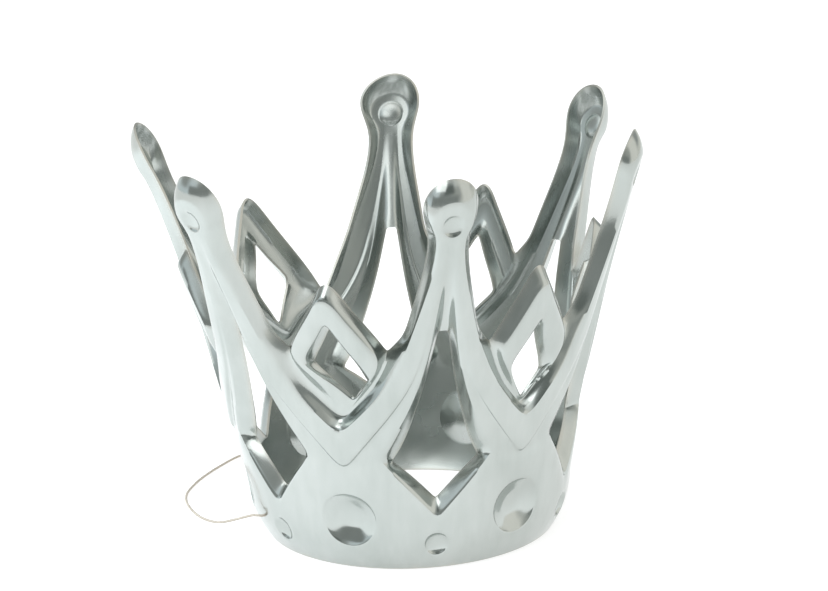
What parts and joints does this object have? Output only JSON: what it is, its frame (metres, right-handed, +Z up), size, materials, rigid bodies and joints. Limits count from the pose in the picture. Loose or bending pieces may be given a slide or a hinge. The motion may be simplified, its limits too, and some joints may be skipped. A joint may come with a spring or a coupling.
{
  "type": "party crown",
  "caption": "Small silver party crown of thin moulded plastic with ball-tipped spikes, pierced kites and diamonds, and a knotted chin elastic.",
  "frame": {"origin": "middle of the crown's plan, on the surface that its rim stands on", "axes": "+Z up out of the crown, -Y towards the front spike, +X to the right of the front spike"},
  "size_m": [0.193, 0.207, 0.1582],
  "materials": {
    "silvered_plastic": "vacuum-metallised silver plastic, glossy with a soft haze",
    "elastic": "thin beige covered elastic"
  },
  "bodies": {
    "root": {"crown_shell": "silvered_plastic", "elastic_cord": "elastic", "knot_left": "elastic", "knot_right": "elastic"}
  },
  "joints": []
}
